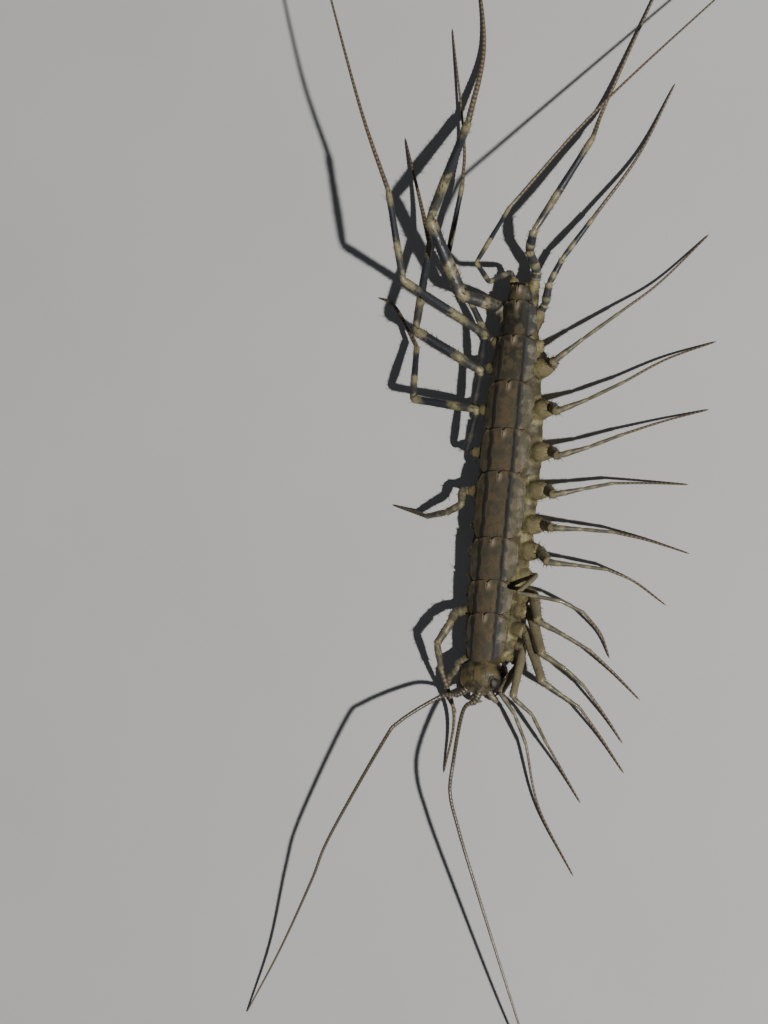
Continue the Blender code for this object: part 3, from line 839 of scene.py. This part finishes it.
# %% Trunk skin
SKIN_VOXEL = 0.068
SKIN_SMOOTHING = 7
TRUNK_SECTIONS = 130
SECTION_POINTS = 36
TRUNK_FRONT, TRUNK_REAR = -10.6, 15.95
STUB_SHARE = 0.86
RIM_HEIGHT = 0.05
WRINKLE_HEIGHT = 0.03


def swelling(y):
    """1 at each pair of hips and 0 half way between two."""
    return max(hump(y - station, 0.42) for station in COXA_STATIONS)


def bulge(value, power):
    """A power of a sine or cosine that keeps its sign, to make a circle fuller."""
    return math.copysign(abs(value) ** power, value)


def trunk_ring(y, share):
    """A section of the soft trunk; share shrinks it towards its middle at the two ends."""
    wide = flank_width(y) * (0.94 + 0.08 * swelling(y)) * share
    top = back_height(y) - 0.36
    low = belly_height(y) + 0.07 * (1 - swelling(y))
    middle = 0.38 * top + 0.62 * low
    ring = []
    for k in range(SECTION_POINTS):
        turn = 2 * math.pi * k / SECTION_POINTS
        across = bulge(math.cos(turn), 1.0 if math.sin(turn) > 0 else 0.75)
        rise = bulge(math.sin(turn), 0.85)
        half = (top - middle if rise > 0 else middle - low) * (0.4 + 0.6 * share)
        ring.append((body_x(y) + wide * across, y, middle + half * rise))
    return ring


def trunk_share(y):
    """How much of its full size the trunk has here; both ends are round."""
    return min(1, math.sqrt(max(0.02, (y - TRUNK_FRONT + 0.15) * 1.6)),
               math.sqrt(max(0.02, (TRUNK_REAR + 0.15 - y) * 1.1)))


def trunk_skin():
    bm = bmesh.new()
    stations = np.linspace(TRUNK_FRONT, TRUNK_REAR, TRUNK_SECTIONS).tolist()
    add_loft(bm, [trunk_ring(y, trunk_share(y)) for y in stations])
    for side, pair in EVERY_HIP:
        start, end, points_to = coxa_line(side, pair)
        base, size = coxa_base(pair), coxa_radius(pair)
        widths = (1.1 * base, 1.1 * base, base, 0.95 * size)
        if is_full(side, pair):
            base = full_hip_base(pair)
            widths = (0.76 * base, 0.86 * base, base, FULL_HIP_END)
            end = end + points_to * FULL_HIP_REACH
        elif pair not in LEGS[side]:
            widths = (*widths[:3], 0.5 * size)
            end = start.lerp(end, STUB_SHARE)
        add_spindle(bm, start, end, widths)
    return melt(bm, "trunk_skin", SKIN_VOXEL, SKIN_SMOOTHING)


def mark_trunk(piece):
    """Writes where the hips and the belly are, and raises a rim round each hip."""
    mesh = piece.data
    points, normals = points_of(mesh), normals_of(mesh)
    hip = np.zeros(len(points))
    rim = np.zeros(len(points))
    for side, pair in EVERY_HIP:
        start, end, points_to = (np.array(v) for v in coxa_line(side, pair))
        size = full_hip_base(pair) if is_full(side, pair) else coxa_base(pair)
        past = (points - start) @ points_to
        off = np.linalg.norm(points - start - past[:, None] * points_to, axis=1)
        share = np.clip(past / np.linalg.norm(end - start), 0, 1.2)
        near = np.clip(1.6 - off / size, 0, 1)
        hip = np.maximum(hip, near * share)
        rim = np.maximum(rim, hump(share - 0.62, 0.05) * (near > 0))
    rise = RIM_HEIGHT * rim + WRINKLE_HEIGHT * wrinkles(points, (2.6, 1), (6.5, 0.5))
    set_points(mesh, points + normals * rise[:, None])
    mark(mesh, "hip", hip)
    mark(mesh, "belly", np.clip((1.5 - points[:, 2]) / 0.5, 0, 1) * (normals[:, 2] < -0.3))
    mark(mesh, "hairy", np.clip(hip * 1.4, 0.06, 1) * (normals[:, 2] < 0.85))


skin = trunk_skin()
mark_trunk(skin)
grow(skin, BRISTLES, {"Density": 7.0, "Length": 0.3, "Lean": 0.35, "Seed": 11,
                      "Finish": FLANK_FINISH})
TRUNK_NODES = [f"trunk_{k}" for k in range(1, len(PLATE_ENDS) - 1)] + ["tail"]
into_frame(skin, "plate", *TRUNK_NODES)

# %% [markdown]
# ## The back plates
# Nine hard plates lie along the back like roof tiles, each a little over the next. A plate is a
# curved sheet with round corners, a raised rim and, in the middle of its rear edge, a pale saddle
# with a breathing slit. It is drawn as a grid, because then each point knows how far it is from the
# middle line and from the rear edge, and Solidify gives it its thickness. The first and the last
# plate are the smallest.

# %% One back plate
PLATE_THICKNESS = 0.11
PLATE_OVERLAP = 0.3
NECK_COVER = 0.35
PLATE_ROWS = 44
PLATE_COLUMNS = 56
LAST_PLATE_END = 0.05
PLATE_FACTS = ("across", "behind", "slit_mound", "slit", "hairy", "tailward")


def plate_point(front, rear, u, v):
    """A point of a plate and the facts written on it; u runs to the rear and v across."""
    length = rear - front
    corner = 0.2 * max(0, (0.2 - u) / 0.2) ** 2 + 0.24 * max(0, (u - 0.8) / 0.2) ** 2.4
    bow = 0.05 * math.sin(math.pi * min(1, u * 1.05))
    y = front + length * u
    y -= 0.3 * abs(v) ** 3 * u**5 * min(1, length / 3)
    y -= 0.2 * hump(v, 0.12) * u**8
    y += 0.25 * abs(v) ** 3 * (1 - u) ** 5
    half = half_width(y) * (0.97 + bow - corner)
    if rear > PLATE_ENDS[-2] + PLATE_OVERLAP:
        half *= 0.85 - 0.2 * u**2
    across = half * v
    behind = (1 - u) * length
    drop = RIM_DROP * abs(across / half_width(y)) ** 2.3
    tilt = 0.1 * u - 0.04
    rim = 0.04 * hump(1 - abs(v), 0.07) + 0.03 * hump(behind, 0.16)
    keel = 0.035 * hump(abs(across) - STRIPE_AT, 0.16)
    mound = hump(across, 0.2) * hump(behind - 0.34, 0.32)
    slit = hump(across, 0.035) * hump(behind - 0.3, 0.2)
    x = body_x(y) + across
    z = back_height(y) - drop + tilt + rim + keel + 0.13 * mound - 0.06 * slit
    z += 0.02 * noise.noise(Vector((x, y, z)) * 1.7)
    hairy = 0.2 + 0.8 * hump(1 - abs(v), 0.08) + 0.5 * hump(behind, 0.2)
    tailward = min(1, max(0, (y - 7) / 6))
    return (x, y, z), (across, behind, min(1, 1.3 * mound), slit, min(1, hairy), tailward)


def back_plate(count, front, rear):
    bm = bmesh.new()
    bmesh.ops.create_grid(bm, x_segments=PLATE_COLUMNS, y_segments=PLATE_ROWS, size=1)
    written = []
    for vertex in bm.verts:
        vertex.co, facts = plate_point(front, rear, (vertex.co.y + 1) / 2, vertex.co.x)
        written.append(facts)
    piece = piece_of(bm, f"plate_{count}")
    for name, values in zip(PLATE_FACTS, zip(*written)):
        mark(piece.data, name, values)
    shell = piece.modifiers.new("thickness", "SOLIDIFY")
    shell.thickness = PLATE_THICKNESS
    shell.offset = -1
    apply_modifiers(piece)
    grow(piece, BRISTLES, {"Density": 9.0, "Length": 0.16, "Lean": 1.6, "Seed": 20 + count,
                           "Finish": PLATE_FINISH})
    into_frame(piece, "plate")


for k in range(1, len(PLATE_ENDS)):
    is_last = k == len(PLATE_ENDS) - 1
    front = PLATE_ENDS[k - 1] - (NECK_COVER if k == 1 else 0)
    back_plate(k, front, PLATE_ENDS[k] + (LAST_PLATE_END if is_last else PLATE_OVERLAP))

# %% [markdown]
# ## Limbs that follow a path
# Legs, feelers, palps and fangs are all tubes of many short rings, with spines at the joints and
# fine hairs. One geometry tree makes all of them from a bare line, on which each point carries the
# limb's radius and the size of its spines. The tree sweeps a circle along the line, stands a whorl
# of spines on each marked point and one hair on every point, turned round the limb by chance with a
# fixed seed.

# %% The limb tree
def lean_cone(tree, root, length, lean, out):
    """One cone that stands on the side of a limb of radius 1 and leans towards its tip."""
    cone = hair_cone(tree, 5, 0.01, root, length)
    return add(tree, "GeometryNodeTransform",
               {"Geometry": cone, "Rotation": (0, lean, 0), "Translation": (out, 0, 0)})[0]


def limb_tree():
    tree, given = new_tree("Limb", (
        ("Sides", "Int", 12), ("Spine Length", "Float", 2.6), ("Hair Length", "Float", 1.0),
        ("Seed", "Int", 1), ("Finish", "Material", None)))
    line = add(tree, "GeometryNodeMeshToCurve", {"Mesh": given["Geometry"]})[0]
    ring = add(tree, "GeometryNodeCurvePrimitiveCircle",
               {"Resolution": given["Sides"], "Radius": 1.0})
    radius, spur = number(tree, "width"), number(tree, "spur")
    tube = add(tree, "GeometryNodeCurveToMesh",
               {"Curve": line, "Profile Curve": ring[0], "Scale": radius, "Fill Caps": True})
    points = add(tree, "GeometryNodeCurveToPoints", {"Curve": line}, mode="EVALUATED")
    spine = lean_cone(tree, 0.11, given["Spine Length"], math.radians(38), 0.85)
    whorl = join(tree, *[
        add(tree, "GeometryNodeTransform",
            {"Geometry": spine, "Rotation": (0, 0, math.radians(90 * turn + 45))})[0]
        for turn in range(4)])
    spiny = add(tree, "FunctionNodeCompare", {0: spur, 1: 0.01}, data_type="FLOAT",
                operation="GREATER_THAN")
    spines = add(tree, "GeometryNodeInstanceOnPoints",
                 {"Points": points["Points"], "Selection": spiny[0], "Instance": whorl,
                  "Rotation": points["Rotation"], "Scale": times(tree, spur, radius)})
    about = add(tree, "FunctionNodeAxisAngleToRotation",
                {"Axis": (0, 0, 1), "Angle": chance(tree, 0.0, 2 * math.pi, given["Seed"])})
    turned = add(tree, "FunctionNodeRotateRotation",
                 {"Rotation": points["Rotation"], "Rotate By": about[0]}, rotation_space="LOCAL")
    hair = lean_cone(tree, 0.07, given["Hair Length"], math.radians(50), 0.92)
    hairs = add(tree, "GeometryNodeInstanceOnPoints",
                {"Points": points["Points"], "Instance": hair, "Rotation": turned[0],
                 "Scale": radius})
    whole = join(tree, hairs[0], spines[0], tube[0])
    end_tree(tree, whole, given["Finish"])
    return tree


LIMB = limb_tree()
print("limb tree:", len(LIMB.nodes), "nodes")

# %% [markdown]
# ## Lines for the limbs to follow
# A smooth curve through the joints comes first, cut into short even steps. The shape of one leg
# part is the same for all of them: slim at its root, full along its middle and flared at the end,
# where the next part sits in it. The foot of a house centipede is a chain of hundreds of tiny
# rings, so its radius ripples.

# %% Path helpers
STEP = 0.08
PART_SHAPE = ((0, 0.12, 0.35, 0.75, 0.92, 0.97, 1.0), (0.72, 0.88, 1.0, 0.9, 1.0, 0.96, 0.7))


def curve_through(points, bend_after=0):
    """Even steps along a smooth curve; points before bend_after are joined by straight lines."""
    path = []
    knots = []
    for i in range(len(points) - 1):
        here, there = points[i], points[i + 1]
        before = points[i - 1] if i > bend_after else here
        after = points[i + 2] if i + 2 < len(points) else there
        steps = max(3, round((there - here).length / STEP))
        knots.append(len(path))
        for k in range(steps):
            t = k / steps
            if i < bend_after:
                path.append(here.lerp(there, t))
                continue
            into = (there - before) / 2 if i > bend_after else (there - here)
            out = (after - here) / 2 if i + 2 < len(points) else (there - here)
            path.append(here * (2 * t**3 - 3 * t**2 + 1) + into * (t**3 - 2 * t**2 + t)
                        + there * (3 * t**2 - 2 * t**3) + out * (t**3 - t**2))
    knots.append(len(path))
    path.append(points[-1])
    return path, knots


def soften(path, passes):
    """Rounds the corners of a path by drawing each point towards its neighbours."""
    for _ in range(passes):
        inner = [(a + 2 * b + c) / 4 for a, b, c in zip(path, path[1:], path[2:])]
        path = [path[0]] + inner + [path[-1]]
    return path


def places_along(path, knots):
    """For each point of a path its place among the joints, as a number of parts."""
    return np.interp(np.arange(len(path)), knots, range(len(knots)))


def reach_of(path):
    """Length of the path up to each of its points."""
    return np.cumsum([0.0] + [(b - a).length for a, b in zip(path, path[1:])])


def limb(name, slot, path, values, **numbers):
    """A limb along a path; numbers are written on the points of its line."""
    mesh = bpy.data.meshes.new(name)
    edges = [(i, i + 1) for i in range(len(path) - 1)]
    mesh.from_pydata([tuple(point) for point in path], edges, [])
    for label, column in numbers.items():
        mark(mesh, label, column)
    piece = add_piece(name, mesh)
    grow(piece, LIMB, values)
    into_frame(piece, slot, name)


print("one step is", STEP, "mm")

# %% [markdown]
# ## The legs
# Twenty-three legs are left. Each goes from its hip through thigh, knee and shin to a long foot
# that ends in a tiny claw, on the floor in all but two. The three stiff parts meet at an angle, and
# the foot is one soft curve. The thighs on the left are stouter than the rest of the leg.

# %% All the legs
FOOT_START = 4
FOOT_PARTS = 2
TIP_WIDTH = 0.05
CLAW_LENGTH = 0.35
SOFT_TURNS = 3
THIGH_END = 0.84
FULL_THIGH_END = 0.74
FULL_WAIST = 0.94
LEG_SINK = 0.15
HIP_TO_THIGH = 0.45
JOINT_SPINES = 0.9
FOOT_SPINES = 0.7
# the first parts of these thighs carry painted shade, for the shadow of the body that falls on them
PAINTED_SHADE_THIGHS = {1: (), -1: (10, 11, 12)}
# strength of the bands on the thigh and past it
FIRST_BANDED_PAIR = {1: 14, -1: 10}
STRONG_BANDS = (0.9, 1.0)
WEAK_BANDS = {1: (0.0, 0.5), -1: (0.3, 0.5)}


def thigh_girth(side, pair, girth):
    if side > 0:
        girth = max(girth, FULL_THIGH_GIRTH if is_full(side, pair) else THIGH_GIRTH)
    return SLIM_THIGHS[side].get(pair, girth)


def leg_widths(side, pair, along, reach):
    """Half the thickness of a leg at each point of its line."""
    full = is_full(side, pair)
    girth = STOUT_LEGS[side].get(pair, LEG_GIRTH)
    thigh = thigh_girth(side, pair, girth)
    starts = (0.92 * thigh, thigh, max(0.95 * girth, 0.6 * thigh), 0.7 * girth + 0.03)
    knee = (FULL_THIGH_END if full else THIGH_END) * thigh
    ends = (0.96 * thigh, knee, 0.82 * girth, 0.55 * girth + 0.03)
    foot_width = 0.36 * girth + 0.04
    widths = []
    for place, length in zip(along, reach):
        part = int(place)
        if part < FOOT_START:
            size = starts[part] + (ends[part] - starts[part]) * (place - part)
            waist = FULL_WAIST if full and part < 2 else 0
            widths.append(size * max(waist, np.interp(place - part, *PART_SHAPE)))
        else:
            left = max(0.0, (FOOT_START + FOOT_PARTS - place) / FOOT_PARTS)
            ripple = 1 + 0.07 * math.sin(2 * math.pi * length / FOOT_RING)
            width = (TIP_WIDTH + (foot_width - TIP_WIDTH) * left**0.8) * ripple
            widths.append(width * min(1, 0.25 + (reach[-1] - length) / CLAW_LENGTH))
    return widths


def leg(side, pair, joints):
    _, end, points_to = coxa_line(side, pair)
    hip = end + points_to * (GAP + HIP_TO_THIGH)
    route = [end - points_to * LEG_SINK, hip] + [on_sight_plane(joint) for joint in joints]
    path, knots = curve_through(route, FOOT_START)
    path = soften(path, SOFT_TURNS)
    reach, along = reach_of(path), places_along(path, knots)
    spurs = np.zeros(len(path))
    spurs[[knot - 2 for knot in knots[2:FOOT_START + 1]]] = JOINT_SPINES
    spurs[knots[FOOT_START] + 8:len(path) - 12:11] = FOOT_SPINES
    bands = STRONG_BANDS if pair >= FIRST_BANDED_PAIR[side] else WEAK_BANDS[side]
    shade = (along < 1.9) * (pair in PAINTED_SHADE_THIGHS[side])
    values = {"Sides": 12, "Spine Length": 1.7, "Hair Length": 0.8, "Seed": pair * 2 + (side > 0),
              "Finish": LEG_FINISH}
    limb(f"leg_{SIDE_NAMES[side]}_{pair:02d}", "leg", path, values,
         width=leg_widths(side, pair, along, reach), spur=spurs, along=along, reach=reach,
         banded=np.where(along < 2, *bands), shade=shade)


for side, legs in LEGS.items():
    for pair, joints in legs.items():
        leg(side, pair, joints)

# %% [markdown]
# ## The head
# The head is a rounded shield, blunt in front, with a swollen face plate, two round sockets for the
# feelers and a rim about each eye. It is melted from a few closed forms, as the trunk was, and then
# the fine seams are pressed in by moving the points of the skin.

# %% The head capsule
HEAD_Y = -11.5
HEAD_Z = 2.08
HEAD_VOXEL = 0.05
HEAD_SMOOTHING = 6
# the shield, the face plate, the lip and the nape: place from the middle, and half of each size
HEAD_BALLS = (
    ((0, 0, 0), (1.55, 1.22, 0.93)),
    ((-0.05, -0.75, -0.25), (0.8, 0.62, 0.6)),
    ((-0.05, -0.9, -0.6), (0.5, 0.42, 0.35)),
    ((0.1, 0.75, -0.15), (1.2, 0.7, 0.75)),
)
EYE_HALF = (0.34, 0.52, 0.4)
EYE_PLACE = Vector((1.22, -0.36, 0.14))
EYE_TURN = math.radians(20)
HEAD_CENTRE = Vector((head_x(HEAD_Y), HEAD_Y, HEAD_Z))


def antenna_socket(side):
    """Root and direction of a feeler; the right one points sideways and the left one forwards."""
    if side > 0:
        return Vector((head_x(-12.3) + 0.47, -12.4, 2.5)), Vector((-0.3, -0.85, 0.4)).normalized()
    return Vector((head_x(-12.3) - 0.5, -12.2, 2.4)), Vector((-0.75, -0.55, 0.35)).normalized()


def palp_socket(side):
    root = Vector((head_x(-12.2) + side * 0.45, -12.2, 1.55))
    return root, Vector((side * 0.25, -0.9, -0.25)).normalized()


def eye_place(side):
    """Matrix that puts a ball of radius 1 where an eye is."""
    centre = HEAD_CENTRE + Vector((side * EYE_PLACE.x, EYE_PLACE.y, EYE_PLACE.z))
    turn = Matrix.Rotation(side * EYE_TURN, 4, "Z")
    return Matrix.Translation(centre) @ turn @ Matrix.Diagonal((*EYE_HALF, 1))


SOCKETS = ((antenna_socket, (0.36, 0.36, 0.3)), (palp_socket, (0.32, 0.3, 0.27)))


def add_ball(bm, place, half):
    """A stretched ball, placed from the middle of the head."""
    made = bmesh.ops.create_uvsphere(bm, u_segments=32, v_segments=20, radius=1)
    put = Matrix.Translation(HEAD_CENTRE + Vector(place)) @ Matrix.Diagonal((*half, 1))
    bmesh.ops.transform(bm, matrix=put, verts=made["verts"])


def head_capsule():
    bm = bmesh.new()
    for place, half in HEAD_BALLS:
        add_ball(bm, place, half)
    for side in LEGS:
        add_ball(bm, (side * 0.8, -0.1, -0.5), (0.6, 0.75, 0.4))
        for socket, widths in SOCKETS:
            root, points_to = socket(side)
            add_spindle(bm, root - points_to * 0.5, root + points_to * 0.2, widths)
    return melt(bm, "head", HEAD_VOXEL, HEAD_SMOOTHING)


def mark_head(piece):
    """Writes the seams and the blush of the face, and presses the seams and eye hollows in."""
    mesh = piece.data
    points, normals = points_of(mesh), normals_of(mesh)
    local = points - np.array(HEAD_CENTRE)
    on_top = np.clip(normals[:, 2] * 2, 0, 1)
    fork = 0.75 * np.clip(-0.15 - local[:, 1], 0, None)
    seam = hump(np.abs(local[:, 0]) - fork, 0.05) * on_top
    blush = hump(np.linalg.norm(local - (0.3, -1.1, -0.35), axis=1), 0.55)
    push = -0.03 * seam
    for side in LEGS:
        back = np.array(eye_place(side).inverted())
        far = np.linalg.norm(points @ back[:3, :3].T + back[:3, 3], axis=1)
        push += 0.07 * hump(far - 1.14, 0.1) - 0.22 * (far < 1.0)
        seam = np.maximum(seam, 0.8 * hump(far - 1.04, 0.06))
    push += 0.025 * wrinkles(points, (2.4, 1))
    set_points(mesh, points + normals * push[:, None])
    mark(mesh, "seam", np.clip(seam, 0, 0.9))
    mark(mesh, "blush", 0.8 * blush)
    mark(mesh, "hairy", 0.35 + 0.65 * (local[:, 1] < -0.9))


capsule = head_capsule()
mark_head(capsule)
grow(capsule, BRISTLES, {"Density": 7.0, "Length": 0.18, "Lean": 0.3, "Seed": 5,
                         "Finish": HEAD_FINISH})
into_frame(capsule, "head", "head")

# %% [markdown]
# ## The eyes
# Each eye is a dome of about six hundred lenses. The dual of a fine icosphere is a ball of
# hexagons, and the tree pushes every one out and draws it together a little, which leaves a groove
# round each lens.

# %% The eye tree and the eyes
def eye_tree():
    tree, given = new_tree("Facets", (
        ("Fineness", "Int", 4), ("Rise", "Float", 0.03), ("Finish", "Material", None)))
    ball = add(tree, "GeometryNodeMeshIcoSphere",
               {"Radius": 0.97, "Subdivisions": given["Fineness"]})
    cells = add(tree, "GeometryNodeDualMesh", {"Mesh": ball["Mesh"]})[0]
    pushed = add(tree, "GeometryNodeExtrudeMesh",
                 {"Mesh": cells, "Offset Scale": given["Rise"], "Individual": True})
    drawn = add(tree, "GeometryNodeScaleElements",
                {"Geometry": pushed["Mesh"], "Selection": pushed["Top"], "Scale": 0.72})
    end_tree(tree, drawn[0], given["Finish"])
    return tree


FACETS = eye_tree()
for side, side_name in SIDE_NAMES.items():
    name = f"eye_{side_name}"
    eye = add_piece(name, bpy.data.meshes.new(name))
    grow(eye, FACETS, {"Fineness": 4, "Rise": 0.03, "Finish": EYE_FINISH})
    eye.data.transform(eye_place(side))
    into_frame(eye, "eye", name)

# %% [markdown]
# ## The feelers
# A feeler has two stout joints at its root and then a thread of several hundred rings, which in
# life is longer than the body. It sweeps up over the floor and comes down to it at the tip.

# %% Both feelers
FEELER_WIDTH = 0.15
FEELER_TIP = 0.05
FEELER_TURNS = 4
# reach in millimetres, and how much thicker the feeler is there
ROOT_SHAPE = ((0, 0.1, 0.45, 0.55, 0.65, 1.0, 1.1, 1.3), (1.5, 1.8, 1.75, 1.2, 1.6, 1.5, 1.1, 1.0))


def feeler(side, points):
    root, points_to = antenna_socket(side)
    start = root + points_to * 0.2
    route = [start, start + points_to * 0.75] + [on_sight_plane(point) for point in points]
    path, _ = curve_through(route)
    path = soften(path, FEELER_TURNS)
    reach = reach_of(path)
    share = reach / reach[-1]
    ripple = 1 + 0.1 * np.sin(2 * math.pi * reach / FEELER_RING)
    widths = (FEELER_TIP + (FEELER_WIDTH - FEELER_TIP) * (1 - share) ** 0.7) * ripple
    spurs = np.zeros(len(path))
    spurs[14::3] = 0.75
    values = {"Sides": 10, "Spine Length": 1.3, "Hair Length": 0.8, "Seed": 40 + side,
              "Finish": FEELER_FINISH}
    limb(f"antenna_{SIDE_NAMES[side]}", "antenna", path, values,
         width=widths * np.interp(reach, *ROOT_SHAPE), spur=spurs, along=share, reach=reach)


feeler(1, LEFT_ANTENNA)
feeler(-1, RIGHT_ANTENNA)

# %% [markdown]
# ## Palps and fangs
# Two hairy palps hang under the face, and below them the first legs have become fangs: stout, bent
# inwards and ending in a sharp dark point. Both are limbs of three short parts.

# %% Palps and fangs
PALP_RADII = (0.22, 0.23, 0.22, 0.06)
FANG_RADII = (0.28, 0.28, 0.22, 0.03)
FANG_JOINTS = ((0.86, -10.3, 1.12), (1.18, -11.15, 0.72), (1.05, -12.2, 0.62), (0.35, -12.9, 0.6))


def short_limb(name, slot, points, radii, spine, seed, finish):
    """A palp or a fang; radii are given at its joints."""
    path, knots = curve_through(points)
    path = soften(path, SOFT_TURNS)
    along = places_along(path, knots)
    dips = 1 - 0.16 * hump(along - np.round(along), 0.07)
    spurs = np.zeros(len(path))
    spurs[4:-4:5] = 0.8
    values = {"Sides": 16, "Spine Length": spine, "Hair Length": 0.9, "Seed": seed,
              "Finish": finish}
    limb(name, slot, path, values, width=np.interp(along, range(len(radii)), radii) * dips,
         spur=spurs, along=along, reach=reach_of(path))


for side, side_name in SIDE_NAMES.items():
    root, points_to = palp_socket(side)
    start = root + points_to * 0.3
    elbow = start + points_to * GAP + Vector((side * 0.3, -0.55, -0.3))
    palp = [start, start + points_to * 0.3, elbow, elbow + Vector((-side * 0.25, -0.1, -0.7))]
    short_limb(f"palp_{side_name}", "leg", palp, PALP_RADII, 1.6, 60 + side, LEG_FINISH)
    fang = [Vector((head_x(-11) + side * out, y, z)) for out, y, z in FANG_JOINTS]
    short_limb(f"claw_{side_name}", "claw", fang, FANG_RADII, 0.8, 70 + side, FANG_FINISH)

# %% [markdown]
# ## The size of the solids
# The box of the solids is printed in millimetres.

# %% Sizes and finish
print("solids:", [[round(v / MM, 2) for v in corner] for corner in CAD_BOX])
